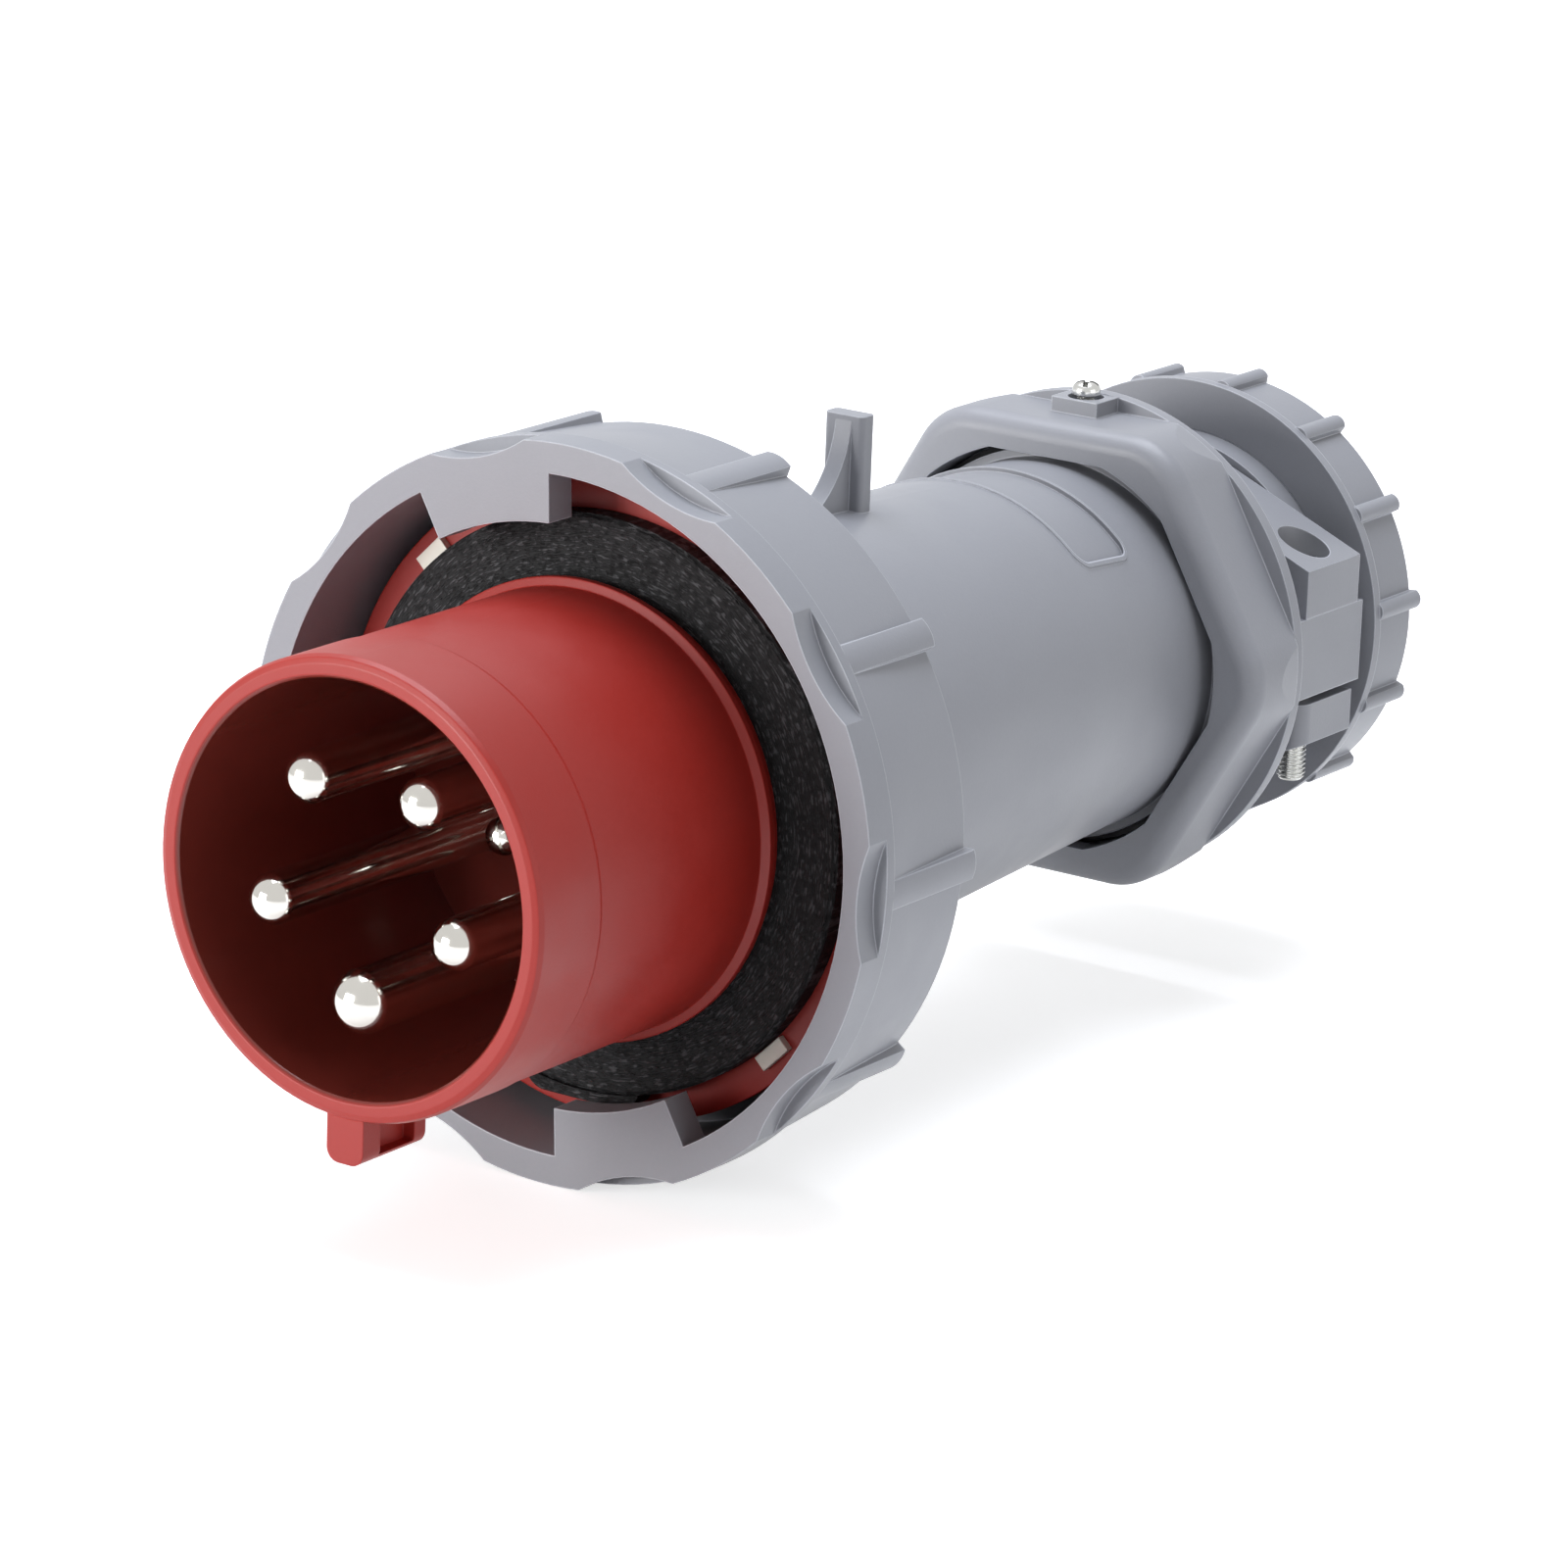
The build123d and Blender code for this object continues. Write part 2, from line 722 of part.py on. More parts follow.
def clamp_jaw():
    """Moving lower half of the cable clamp."""
    jaw = slab(clamp_outline(-1, arm_half_high + jaw_gap), clamp_front + free_gap, clamp_back - free_gap)
    uprights = jaw.edges().filter_by(Axis.Z)
    front_uprights = uprights.filter_by_position(Axis.Y, clamp_front, clamp_front + 2 * free_gap)
    jaw = fillet(front_uprights, jaw_round)
    reach = roof_edge + arm_outer
    for x in (-clamp_screw_x, clamp_screw_x):
        jaw -= screw_hole(x)
        jaw -= Pos(x, clamp_screw_at, -reach) * extrude(nut_outline(), amount=reach + clamp_nut_top)
    return jaw


def clamp_nuts():
    """Hexagon nuts held in the lower jaw."""
    nut = extrude(nut_outline(), amount=clamp_nut_high)
    nut -= Cylinder(clamp_screw_r + running_gap, 3 * clamp_nut_high)
    bottom = clamp_nut_top - clamp_nut_high
    return group([Pos(x, clamp_screw_at, bottom) * nut for x in (-clamp_screw_x, clamp_screw_x)])


def clamp_screw(side):
    """Slotted clamp screw on the right (side 1) or left (side -1)."""
    seat = clamp_recess_floor + free_gap
    top = seat + clamp_head_high
    tip = clamp_nut_top - clamp_nut_high - clamp_screw_below
    profile = Polyline(
        (0, tip), (clamp_screw_r, tip), (clamp_screw_r, seat), (clamp_head_r, seat),
        (clamp_head_r, top - clamp_head_edge), (clamp_head_r - clamp_head_edge, top), (0, top), close=True,
    )
    screw = revolve(Plane.XZ * make_face(profile), Axis.Z)
    slot = Box(2 * clamp_head_r, clamp_slot_wide, 2 * clamp_slot_deep)
    screw -= Pos(0, 0, top) * Rot(0, 0, clamp_slot_turns[side]) * slot
    return Pos(side * clamp_screw_x, clamp_screw_at, 0) * screw


# Gland
def gland_seal():
    """Rubber sleeve that seals on the cable."""
    return tube(gland_bore_r, gland_seal_bore, gland_floor, neck_back)


def pressure_ring():
    """Slip ring between the seal and the nut."""
    return tube(gland_bore_r - slip_ring_ease, cable_r + slip_ring_play, slip_ring_front, slip_ring_back)


def gland_nut():
    """Ribbed gland nut, open towards the neck."""
    bore = neck_r + running_gap
    rim_r = nut_body_r + nut_rim_high
    rim_back = nut_front + nut_rim_long
    hole_r = cable_r + nut_hole_play
    nut = turned(
        (nut_front, bore), (nut_front, rim_r), (rim_back, rim_r), (rim_back, nut_body_r),
        (nut_back - small_edge, nut_body_r), (nut_back, nut_body_r - small_edge), (nut_back, hole_r),
        (nut_inside, hole_r), (nut_inside, bore),
    )
    base_r = nut_body_r - nut_floor
    front = nut_front + nut_grip_start
    rib = crowned_bar(base_r, nut_body_r + nut_grip_high, nut_grip_wide, nut_grip_round, front, nut_back)
    for index in range(nut_grip_count):
        nut += spun(rib, nut_grip_turn + index * 360 / nut_grip_count)
    return nut


# Nodes
for name, place in line_pins.items():
    save(contact_pin(pin_r, pin_tip, place), name)
save(contact_pin(earth_r, earth_tip, earth_angle), "earth_pin")
save(pilot_pin(), "pilot_pin")
save(main_terminal_screws(), "terminal_screws")
save(pilot_terminal_screw(), "pilot_terminal_screw")
save(contact_carrier(), "contact_carrier")
save(terminal_block(), "terminal_block")
save(spun(wedge_block(), wedge_angle), "carrier_wedge_upper")
save(spun(wedge_block(), wedge_angle - 180), "carrier_wedge_lower")
save(face_gasket(), "face_gasket")
save(locking_ring(), "locking_ring")
save(housing(), "housing")
save(housing_seal(), "housing_seal")
save(gland_collar(), "gland_collar")
save(lock_screw(), "collar_lock_screw")
save(clamp_saddle(), "clamp_saddle")
save(clamp_jaw(), "clamp_jaw")
save(clamp_nuts(), "clamp_nuts")
save(clamp_screw(1), "clamp_screw_right")
save(clamp_screw(-1), "clamp_screw_left")
save(gland_seal(), "gland_seal")
save(pressure_ring(), "pressure_ring")
save(gland_nut(), "gland_nut")
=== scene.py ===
"""Looks of the industrial pin and sleeve plug: finishes, detailed screws, light and camera.

Metres, in the frame of the solids: the plug axis is Y, the mating face looks towards -Y and +Z is up.
"""

import json
import math

import bpy
import bmesh
from mathutils import Matrix, Vector

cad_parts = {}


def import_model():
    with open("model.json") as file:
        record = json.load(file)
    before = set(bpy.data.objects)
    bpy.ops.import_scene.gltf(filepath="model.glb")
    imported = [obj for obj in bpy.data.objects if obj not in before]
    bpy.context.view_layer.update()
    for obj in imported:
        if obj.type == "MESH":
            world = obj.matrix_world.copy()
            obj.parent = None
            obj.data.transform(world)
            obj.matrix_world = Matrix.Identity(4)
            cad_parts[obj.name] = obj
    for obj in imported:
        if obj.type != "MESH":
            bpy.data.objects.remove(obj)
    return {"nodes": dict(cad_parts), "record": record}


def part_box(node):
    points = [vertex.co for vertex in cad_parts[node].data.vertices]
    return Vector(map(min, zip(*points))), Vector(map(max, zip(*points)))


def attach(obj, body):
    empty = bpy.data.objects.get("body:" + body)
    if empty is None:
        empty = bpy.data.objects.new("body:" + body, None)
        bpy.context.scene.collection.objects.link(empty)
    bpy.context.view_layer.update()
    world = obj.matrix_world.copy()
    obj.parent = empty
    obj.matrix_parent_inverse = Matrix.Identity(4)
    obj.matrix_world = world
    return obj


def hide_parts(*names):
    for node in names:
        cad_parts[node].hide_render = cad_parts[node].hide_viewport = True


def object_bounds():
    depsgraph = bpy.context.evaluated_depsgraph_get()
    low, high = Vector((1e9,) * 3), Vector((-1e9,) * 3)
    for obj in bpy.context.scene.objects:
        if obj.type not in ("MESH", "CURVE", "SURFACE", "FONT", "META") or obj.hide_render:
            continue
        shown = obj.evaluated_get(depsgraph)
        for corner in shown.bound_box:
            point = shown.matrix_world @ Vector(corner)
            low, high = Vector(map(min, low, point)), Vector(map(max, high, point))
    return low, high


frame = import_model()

cad_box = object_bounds()
nodes = frame["nodes"]
MM = 0.001

# Camera, fitted to the photograph
camera_place = (606.6, -761.4, 268.1)      # millimetres from the middle of the sleeve's rim
camera_yaw = 34.75                         # degrees from -Y towards +X
camera_pitch = 14.53                       # degrees above the plug axis
plug_roll = 2.5                            # the plug lies turned by this much about its own axis
photo_side = 1600
focal_pixels = 7000
sensor = 36.0                              # millimetres
clip_near, clip_far = 0.05, 20

# Colours, linear
red = (0.310, 0.018, 0.012)
painted_shade_red = (0.165, 0.024, 0.017)           # painted shade: darker red for the deep inside of the sleeve, where little light enters
grey = (0.268, 0.273, 0.297)
black = (0.020, 0.020, 0.021)
ivory = (0.80, 0.77, 0.68)
natural = (0.62, 0.62, 0.60)
nickel = (0.64, 0.62, 0.58)
zinc = (0.60, 0.60, 0.58)
white = (1, 1, 1)
cool = (0.88, 0.92, 1.0)
floor_colour = (0.86, 0.86, 0.86)

# Mouldings: colour, roughness, depth of the grain, painted highlight of the edges as brightness against the colour,
# specular level
mouldings = {
    "red_moulding": (red, 0.42, 0.030 * MM, 1.35, 0.42),
    "grey_moulding": (grey, 0.40, 0.035 * MM, 2.4, 0.4),
    "ivory_moulding": (ivory, 0.38, 0.020 * MM, 1.1, 0.4),
    "natural_moulding": (natural, 0.35, 0.020 * MM, 1.1, 0.4),
}
edge_radius = 0.40 * MM
edge_highlight_share = 0.7                           # how far the edges take on their painted highlight

# Inside of the sleeve, with a high polish and painted shade: limits of the radius and of the depth, each with its soft
# border
inside_radius = (32.6 * MM, 32.1 * MM)
inside_depth = (60 * MM, 59 * MM)
inside_rough = 0.14

# Noise scales, in waves a metre
drift_scale = 22
speck_scale = 1400
gloss_scale = 60
grain_scale = 2600
pit_scale = 900
seal_drift_scale = 90
seal_grain_scale = 1600
plate_drift_scale = 140
plate_gloss_scale = 300
turning_scale = 9000
streaks_along = 20                         # waves a radian round the gasket
streaks_across = 2900

# Light: place, side, power and colour of each lamp
lamps = {
    "top_box": ((-0.15, 0.25, 1.1), 0.9, 17.0, cool),
    "front_box": ((-0.60, -1.25, 0.12), 0.8, 26.0, white),
    "right_box": ((1.1, 0.15, 0.10), 0.8, 2.4, white),
}
lamp_target = (0, 0.12, 0)
surrounding_light = 0.30
floor_side = 6
floor_glow = 0.63

# Threads
clamp_pitch = 0.8 * MM
lock_pitch = 0.5 * MM
thread_deep = 0.55                         # depth over the pitch
flank_steep = 1.5                          # above 1, the crests and roots are flat
tip_share = 0.9                            # radius of a screw's tip over the thread's root
ring_parts = 48
rows_per_pitch = 8

# Heads of the screws
seat_share = 0.97                          # radius of the seat over the head's
crown_flat = 0.25                          # radius of a pan head's flat top over the head's
crown_steps = 7

# Clamp screws
clamp_shank_r = 2.5 * MM
clamp_head_high = 3.2 * MM
clamp_neck_share = 0.9                     # radius under the head over the shank's
clamp_thread_top = -8 * MM                 # height above the plug axis
clamp_head_foot = 0.2 * MM
clamp_crown = ((1.1, 0), (0.45, 0.35), (0, 1.0))  # millimetres below the top and in from the head's side
clamp_slot = (1.2 * MM, 1.1 * MM)          # width and depth
clamp_slot_share = 3                       # length over the head's radius
clamp_slot_turns = {"right": 60, "left": -20}

# Lock screw
lock_shank_r = 1.5 * MM
lock_neck_r = 1.4 * MM
lock_head_high = 2.3 * MM
lock_head_side = 0.9 * MM
lock_thread_gap = 0.05 * MM                # end of the thread to the head
lock_slot = (0.9 * MM, 1.5 * MM)           # width and depth
lock_slot_share = 1.7                      # length over the head's radius
lock_slot_turns = (25, 115)


# Node helpers
def add(tree, kind, **settings):
    """New shader node; a setting names a socket or a property."""
    node = tree.nodes.new(kind)
    for name, value in settings.items():
        if name in node.inputs:
            node.inputs[name].default_value = value
        else:
            setattr(node, name, value)
    return node


def link(tree, source, target):
    """Feeds an input socket from an output socket, a colour or a number."""
    if isinstance(source, bpy.types.NodeSocket):
        tree.links.new(source, target)
    elif isinstance(source, tuple):
        target.default_value = (*source, 1)
    else:
        target.default_value = source


def math_node(tree, operation, *values):
    """Math node fed by sockets or numbers."""
    node = add(tree, "ShaderNodeMath", operation=operation)
    for value, socket in zip(values, node.inputs):
        link(tree, value, socket)
    return node.outputs[0]


def band(tree, value, low, high, to_low=0.0, to_high=1.0):
    """Smooth step of a value between two limits."""
    limits = {"From Min": low, "From Max": high, "To Min": to_low, "To Max": to_high}
    node = add(tree, "ShaderNodeMapRange", interpolation_type="SMOOTHSTEP", **limits)
    link(tree, value, node.inputs["Value"])
    return node.outputs["Result"]


def noise(tree, place, scale, detail):
    """Noise value over a place vector."""
    node = add(tree, "ShaderNodeTexNoise", Scale=scale, Detail=detail)
    link(tree, place, node.inputs["Vector"])
    return node.outputs["Fac"]


def mix(tree, kind, fac, first, second):
    """Mix of two values of one kind, each a socket or a constant."""
    node = add(tree, "ShaderNodeMix", data_type=kind)
    for name, value in (("Factor", fac), ("A", first), ("B", second)):
        link(tree, value, node.inputs[name])
    return node.outputs["Result"]


def scaled(colour, factor):
    """Lighter or darker shade of a colour."""
    return tuple(min(channel * factor, 1) for channel in colour)


def tint(tree, colour, fac, dark, light):
    """Colour that varies from a darker to a lighter shade of itself."""
    return mix(tree, "RGBA", fac, scaled(colour, dark), scaled(colour, light))


def bump(tree, shader, height, distance, strength, under=None):
    """Bump from a height socket, over the shader's own normal or another one."""
    node = add(tree, "ShaderNodeBump", Strength=strength, Distance=distance)
    link(tree, height, node.inputs["Height"])
    if under is not None:
        link(tree, under, node.inputs["Normal"])
    link(tree, node.outputs["Normal"], shader.inputs["Normal"])


def object_place(tree):
    """Place in the frame of the solids."""
    return add(tree, "ShaderNodeTexCoord").outputs["Object"]


def split(tree, place):
    """X, Y and Z of a place."""
    parts = add(tree, "ShaderNodeSeparateXYZ")
    link(tree, place, parts.inputs[0])
    return parts.outputs


def axis_radius(tree, x, z):
    """Distance from the plug axis."""
    squares = [math_node(tree, "POWER", value, 2) for value in (x, z)]
    return math_node(tree, "SQRT", math_node(tree, "ADD", *squares))


def stretched_noise(tree, detail, x, y=0.0):
    """Noise over coordinates that are already scaled."""
    place = add(tree, "ShaderNodeCombineXYZ")
    link(tree, x, place.inputs["X"])
    link(tree, y, place.inputs["Y"])
    return noise(tree, place.outputs[0], 1.0, detail)


def start_material(name, roughness, metallic=0.0, specular=0.5):
    """Material with its tree and shader."""
    material = bpy.data.materials.new(name)
    material.use_nodes = True
    tree = material.node_tree
    shader = tree.nodes["Principled BSDF"]
    shader.inputs["Roughness"].default_value = roughness
    shader.inputs["Metallic"].default_value = metallic
    shader.inputs["Specular IOR Level"].default_value = specular
    return material, tree, shader


def edge_mask(tree, rounded):
    """1 on edges and 0 on flat stretches, from the normal with rounded edges."""
    geometry = add(tree, "ShaderNodeNewGeometry")
    dot = add(tree, "ShaderNodeVectorMath", operation="DOT_PRODUCT")
    link(tree, rounded, dot.inputs[0])
    link(tree, geometry.outputs["Normal"], dot.inputs[1])
    return band(tree, dot.outputs["Value"], 0.995, 0.90)


# Materials
def moulded_plastic(name):
    """Injection moulded plastic: slight shade drift, spark-eroded grain, painted highlight on the edges."""
    colour, rough, grain, painted_edge_highlight, specular = mouldings[name]
    material, tree, shader = start_material(name, rough, specular=specular)
    place = object_place(tree)
    drift = math_node(tree, "MULTIPLY", noise(tree, place, drift_scale, 3), 0.7)
    speck = math_node(tree, "MULTIPLY", noise(tree, place, speck_scale, 1), 0.3)
    shades = tint(tree, colour, math_node(tree, "ADD", drift, speck), 0.93, 1.07)
    rounded = add(tree, "ShaderNodeBevel", samples=8, Radius=edge_radius).outputs["Normal"]
    # painted highlight: the base colour turns lighter on the edges found from the rounded normal
    edges = math_node(tree, "MULTIPLY", edge_mask(tree, rounded), edge_highlight_share)
    link(tree, mix(tree, "RGBA", edges, shades, scaled(colour, painted_edge_highlight)), shader.inputs["Base Color"])
    gloss = band(tree, noise(tree, place, gloss_scale, 3), 0.3, 0.7, rough - 0.05, rough + 0.06)
    link(tree, gloss, shader.inputs["Roughness"])
    bump(tree, shader, noise(tree, place, grain_scale, 1), grain, 0.5, rounded)
    return material


def carrier_plastic():
    """Red plastic, satin outside and with a high polish inside the sleeve, where its colour is also painted darker as
    shade.
    """
    material = moulded_plastic("red_moulding")
    tree = material.node_tree
    shader = tree.nodes["Principled BSDF"]
    x, y, z = split(tree, object_place(tree))
    inside = math_node(tree, "MULTIPLY", band(tree, axis_radius(tree, x, z), *inside_radius),
                       band(tree, y, *inside_depth))
    # painted shade: inside the sleeve the red turns darker; the roughness drops there for the polish
    for name, kind, shade_and_polish in (("Base Color", "RGBA", painted_shade_red), ("Roughness", "FLOAT", inside_rough)):
        socket = shader.inputs[name]
        link(tree, mix(tree, kind, inside, socket.links[0].from_socket, shade_and_polish), socket)
    return material


def streaked_rubber():
    """Black face gasket with fine pits and short streaks along its circle."""
    material, tree, shader = start_material("streaked_rubber", 0.66, specular=0.22)
    place = object_place(tree)
    x, _, z = split(tree, place)
    along = math_node(tree, "MULTIPLY", math_node(tree, "ARCTAN2", z, x), streaks_along)
    across = math_node(tree, "MULTIPLY", axis_radius(tree, x, z), streaks_across)
    streaks = band(tree, stretched_noise(tree, 3, along, across), 0.44, 0.62)
    pits = noise(tree, place, pit_scale, 4)
    pale = math_node(tree, "MULTIPLY", streaks, band(tree, pits, 0.40, 0.58))
    link(tree, tint(tree, black, pale, 0.5, 3.4), shader.inputs["Base Color"])
    height = math_node(tree, "SUBTRACT", streaks, math_node(tree, "MULTIPLY", pits, 0.8))
    bump(tree, shader, height, 0.22 * MM, 0.9)
    return material


def plain_rubber():
    """Black seal rubber."""
    material, tree, shader = start_material("seal_rubber", 0.55, specular=0.4)
    place = object_place(tree)
    link(tree, tint(tree, black, noise(tree, place, seal_drift_scale, 3), 0.8, 1.6), shader.inputs["Base Color"])
    bump(tree, shader, noise(tree, place, seal_grain_scale, 2), 0.04 * MM, 0.6)
    return material


def plated_metal(name, colour, rough, ring_axis):
    """Bright plated metal with fine turning rings along an axis."""
    material, tree, shader = start_material(name, rough, metallic=1.0)
    place = object_place(tree)
    link(tree, tint(tree, colour, noise(tree, place, plate_drift_scale, 3), 0.93, 1.04), shader.inputs["Base Color"])
    gloss = band(tree, noise(tree, place, plate_gloss_scale, 3), 0.3, 0.7, rough * 0.7, rough * 1.5)
    link(tree, gloss, shader.inputs["Roughness"])
    along = math_node(tree, "MULTIPLY", split(tree, place)[ring_axis], turning_scale)
    bump(tree, shader, stretched_noise(tree, 2, along), 0.004 * MM, 0.5)
    return material


def finish_material(name):
    """Material for each of the record's slots."""
    makers = {
        "red_plastic": carrier_plastic,
        "grey_plastic": lambda: moulded_plastic("grey_moulding"),
        "ivory_plastic": lambda: moulded_plastic("ivory_moulding"),
        "slip_plastic": lambda: moulded_plastic("natural_moulding"),
        "black_rubber": plain_rubber,
        "plated_contact": lambda: plated_metal("nickel_plate", nickel, 0.10, "Y"),
        "bright_steel": lambda: plated_metal("zinc_plate", zinc, 0.20, "Z"),
    }
    return makers[name]()


# Mesh helpers
def new_piece(name, build, material, body):
    """Object from a bmesh builder, riding on a body."""
    mesh = bpy.data.meshes.new(name)
    work = bmesh.new()
    build(work)
    bmesh.ops.recalc_face_normals(work, faces=work.faces)
    work.to_mesh(mesh)
    work.free()
    piece = bpy.data.objects.new(name, mesh)
    bpy.context.scene.collection.objects.link(piece)
    mesh.materials.append(material)
    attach(piece, body)
    return piece


def skin_rings(work, rings, low_centre, high_centre):
    """Closed skin through rings of points, with a fan at each end."""
    rows = [[work.verts.new(point) for point in ring] for ring in rings]
    count = len(rows[0])
    for lower, upper in zip(rows, rows[1:]):
        for k in range(count):
            work.faces.new((lower[k], lower[(k + 1) % count], upper[(k + 1) % count], upper[k]))
    bottom = work.verts.new(low_centre)
    top = work.verts.new(high_centre)
    for k in range(count):
        work.faces.new((rows[0][(k + 1) % count], rows[0][k], bottom))
        work.faces.new((rows[-1][k], rows[-1][(k + 1) % count], top))


def ring_points(x, y, height, radius_at):
    """Ring of points round an upright axis, from a radius for each share of a turn."""
    points = []
    for k in range(ring_parts):
        share = k / ring_parts
        radius = radius_at(share)
        points.append((x + radius * math.cos(math.tau * share), y + radius * math.sin(math.tau * share), height))
    return points


def thread_radius(root, crest, pitch, height, turn):
    """Radius of a single-start thread at a height and a share of a turn."""
    wave = abs(((height / pitch - turn) % 1.0) * 2 - 1)
    rise = 0.5 + (wave - 0.5) * flank_steep
    return root + (crest - root) * min(max(rise, 0), 1)


def screw_rings(x, y, shank, pitch, tip, thread_top, head):
    """Rings of an upright screw: chamfered tip, thread, and the head's (height, radius) profile."""
    root = shank - thread_deep * pitch
    rows = []
    count = round((thread_top - tip) / pitch * rows_per_pitch)
    for step in range(count + 1):
        height = tip + step * (thread_top - tip) / count
        limit = root * tip_share + (height - tip)
        rows.append(ring_points(x, y, height,
                                lambda share: min(thread_radius(root, shank, pitch, height, share), limit)))
    for height, radius in head:
        rows.append(ring_points(x, y, height, lambda share: radius))
    return rows


def dome_profile(seat, radius, side, top):
    """Profile of a pan head: flat seat, straight side and a rounded crown."""
    points = [(seat, radius * seat_share), (seat + side * 0.15, radius), (seat + side, radius)]
    for step in range(1, crown_steps):
        angle = step / crown_steps * math.pi / 2
        share = crown_flat + (1 - crown_flat) * math.cos(angle)
        points.append((seat + side + (top - seat - side) * math.sin(angle), radius * share))
    return points


def cut_slot(piece, centre, turn, length, wide, deep):
    """Cuts a straight slot into the top of a screw."""
    bpy.ops.mesh.primitive_cube_add(size=1, location=centre, rotation=(0, 0, math.radians(turn)))
    cutter = bpy.context.object
    cutter.scale = (length, wide, 2 * deep)
    modifier = piece.modifiers.new("slot", "BOOLEAN")
    modifier.operation = "DIFFERENCE"
    modifier.object = cutter
    modifier.solver = "EXACT"
    bpy.context.view_layer.update()
    depsgraph = bpy.context.evaluated_depsgraph_get()
    mesh = bpy.data.meshes.new_from_object(piece.evaluated_get(depsgraph))
    piece.modifiers.clear()
    piece.data = mesh
    bpy.data.objects.remove(cutter)


def shade(piece, angle=40):
    """Smooth shading with sharp edges above an angle."""
    for polygon in piece.data.polygons:
        polygon.use_smooth = True
    piece.data.set_sharp_from_angle(angle=math.radians(angle))


# Screws
def axis_and_head(low, high):
    """Axis and head radius of an upright screw, from its box."""
    return (low.x + high.x) / 2, (low.y + high.y) / 2, (high.x - low.x) / 2


def clamp_screw(side, material):
    """Slotted screw of the cable clamp with its thread."""
    node = f"clamp_screw_{side}"
    low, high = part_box(node)
    x, y, head_r = axis_and_head(low, high)
    seat = high.z - clamp_head_high
    head = [(seat, clamp_shank_r * clamp_neck_share), (seat, head_r * seat_share), (seat + clamp_head_foot, head_r)]
    head += [(high.z - down * MM, head_r - inwards * MM) for down, inwards in clamp_crown]
    rings = screw_rings(x, y, clamp_shank_r, clamp_pitch, low.z, clamp_thread_top, head)
    piece = new_piece(f"threaded_{node}", lambda work: skin_rings(work, rings, (x, y, low.z), (x, y, high.z)), material,
                      node)
    cut_slot(piece, (x, y, high.z), clamp_slot_turns[side], clamp_slot_share * head_r, *clamp_slot)
    shade(piece)
    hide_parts(node)


def lock_screw(material):
    """Cross-slotted pan-head screw on top of the collar."""
    low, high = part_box("collar_lock_screw")
    x, y, head_r = axis_and_head(low, high)
    seat = high.z - lock_head_high
    head = [(seat, lock_neck_r)] + dome_profile(seat, head_r, lock_head_side, high.z)
    rings = screw_rings(x, y, lock_shank_r, lock_pitch, low.z, seat - lock_thread_gap, head)
    piece = new_piece("threaded_lock_screw",
                      lambda work: skin_rings(work, rings, (x, y, low.z), (x, y, high.z)), material, "plug_body")
    for turn in lock_slot_turns:
        cut_slot(piece, (x, y, high.z), turn, lock_slot_share * head_r, *lock_slot)
    shade(piece)
    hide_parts("collar_lock_screw")


# Dressing of the solids
def dress_nodes():
    """Gives each solid the finish of its slot, and the face gasket its own; returns the finishes by slot."""
    slots = {part["node"]: part["material_slot"] for part in frame["record"]["subparts"]}
    finishes = {name: finish_material(name) for name in sorted(set(slots.values()))}
    special = {"face_gasket": streaked_rubber()}
    for name, piece in nodes.items():
        piece.data.materials.clear()
        piece.data.materials.append(special.get(name, finishes[slots[name]]))
    return finishes


# Stage, light and camera
def seen_rays(tree):
    """1 for what the camera sees, also in reflections and through glass."""
    path = add(tree, "ShaderNodeLightPath")
    seen = math_node(tree, "MAXIMUM", path.outputs["Is Camera Ray"], path.outputs["Is Glossy Ray"])
    return math_node(tree, "MAXIMUM", seen, path.outputs["Is Transmission Ray"])


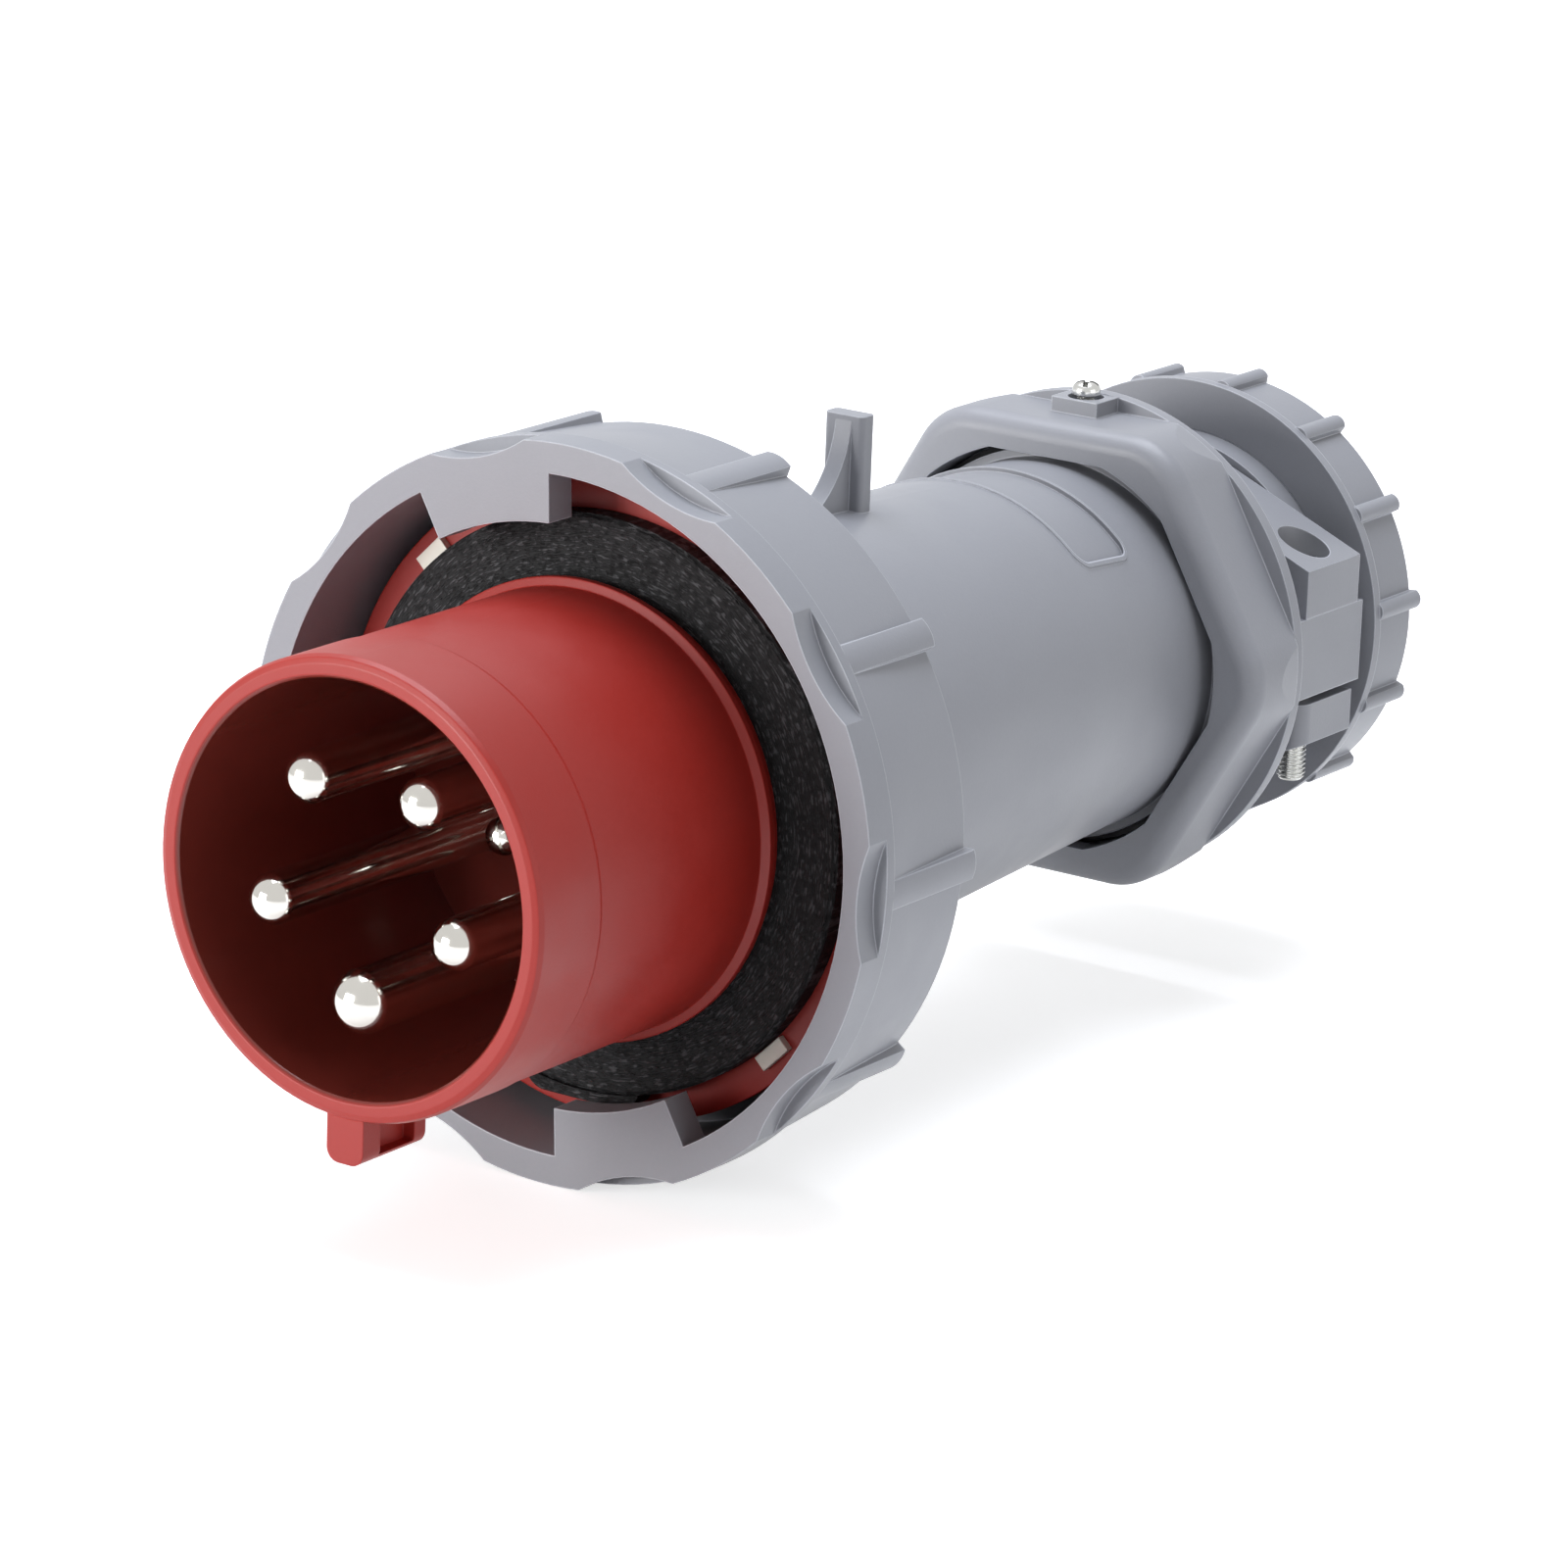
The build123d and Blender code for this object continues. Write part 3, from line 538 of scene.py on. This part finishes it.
def floor():
    """Pale floor under the plug, which keeps its shadow and glows for what the camera sees."""
    bpy.ops.mesh.primitive_plane_add(size=floor_side, location=(0, 0, cad_box[0][2]))
    plane = bpy.context.object
    plane.name = "floor"
    material, tree, shader = start_material("pale_floor", 0.8, specular=0.1)
    link(tree, floor_colour, shader.inputs["Base Color"])
    glow = add(tree, "ShaderNodeEmission")
    link(tree, white, glow.inputs["Color"])
    link(tree, math_node(tree, "MULTIPLY", seen_rays(tree), floor_glow), glow.inputs["Strength"])
    both = add(tree, "ShaderNodeAddShader")
    link(tree, shader.outputs[0], both.inputs[0])
    link(tree, glow.outputs[0], both.inputs[1])
    link(tree, both.outputs[0], tree.nodes["Material Output"].inputs["Surface"])
    plane.data.materials.append(material)


def world():
    """Soft even light, seen as white."""
    scene_world = bpy.data.worlds.new("studio")
    bpy.context.scene.world = scene_world
    scene_world.use_nodes = True
    tree = scene_world.node_tree
    background = tree.nodes["Background"]
    link(tree, white, background.inputs["Color"])
    link(tree, band(tree, seen_rays(tree), 0.0, 1.0, surrounding_light, 1.0), background.inputs["Strength"])


def lights():
    """Square soft lamps round the plug, aimed at its middle."""
    for name, (place, side, power, colour) in lamps.items():
        light = bpy.data.lights.new(name, "AREA")
        light.shape = "SQUARE"
        light.size = side
        light.energy = power
        light.color = colour
        lamp = bpy.data.objects.new(name, light)
        bpy.context.scene.collection.objects.link(lamp)
        lamp.location = place
        direction = Vector(lamp_target) - Vector(place)
        lamp.rotation_euler = direction.to_track_quat("-Z", "Y").to_euler()


def camera():
    """Camera at the photograph's angle."""
    yaw = math.radians(camera_yaw)
    pitch = math.radians(camera_pitch)
    back = Vector((math.sin(yaw) * math.cos(pitch), -math.cos(yaw) * math.cos(pitch), math.sin(pitch)))
    right = Vector((math.cos(yaw), math.sin(yaw), 0))
    up = back.cross(right)
    axes = Matrix((right, up, back)).transposed()
    roll = Matrix.Rotation(math.radians(-plug_roll), 3, "Y")
    matrix = (roll @ axes).to_4x4()
    matrix.translation = roll @ (Vector(camera_place) * MM)
    lens = bpy.data.cameras.new("camera")
    lens.sensor_width = sensor
    lens.lens = focal_pixels / photo_side * sensor
    lens.clip_start = clip_near
    lens.clip_end = clip_far
    eye = bpy.data.objects.new("camera", lens)
    eye.matrix_world = matrix
    bpy.context.scene.collection.objects.link(eye)
    bpy.context.scene.camera = eye


camera()
finishes = dress_nodes()
for side in clamp_slot_turns:
    clamp_screw(side, finishes["bright_steel"])
lock_screw(finishes["bright_steel"])
floor()
world()
lights()
bpy.context.scene.view_settings.view_transform = "Standard"
